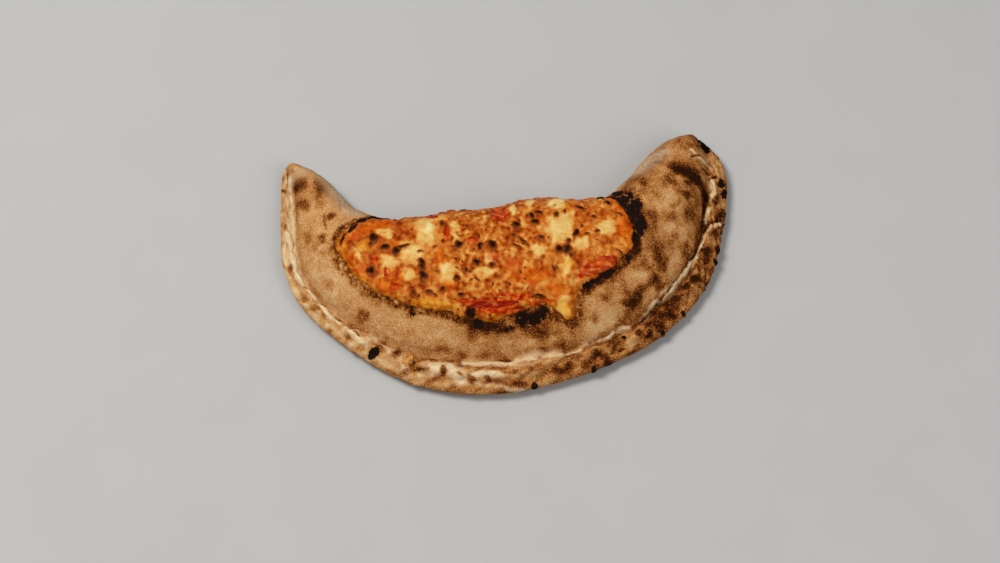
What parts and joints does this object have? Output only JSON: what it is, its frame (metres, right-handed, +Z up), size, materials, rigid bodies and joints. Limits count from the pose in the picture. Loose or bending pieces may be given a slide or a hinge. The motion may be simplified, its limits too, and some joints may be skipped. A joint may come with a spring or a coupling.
{
  "type": "calzone",
  "caption": "Baked crescent of folded dough with a rolled, crimped rim and melted cheese and tomato baked on its back.",
  "frame": {"origin": "centre of the footprint's bounding box, at the height of the flat underside", "axes": "+X along the crescent's long axis, from its left horn to its right horn; +Y from the rolled rim towards the folded edge and the horns; +Z up, away from the flat underside"},
  "size_m": [0.3028, 0.1897, 0.0484],
  "materials": {
    "baked_dough": "matte, mottled brown",
    "melted_cheese": "oily satin",
    "cooked_tomato": "wet gloss",
    "browned_cheese": "oily satin"
  },
  "bodies": {
    "root": {"crust": "baked_dough", "cheese_topping": "melted_cheese", "tomato_piece_1": "cooked_tomato", "tomato_piece_2": "cooked_tomato", "tomato_piece_3": "cooked_tomato", "tomato_piece_4": "cooked_tomato", "leaked_cheese": "browned_cheese"}
  },
  "joints": []
}
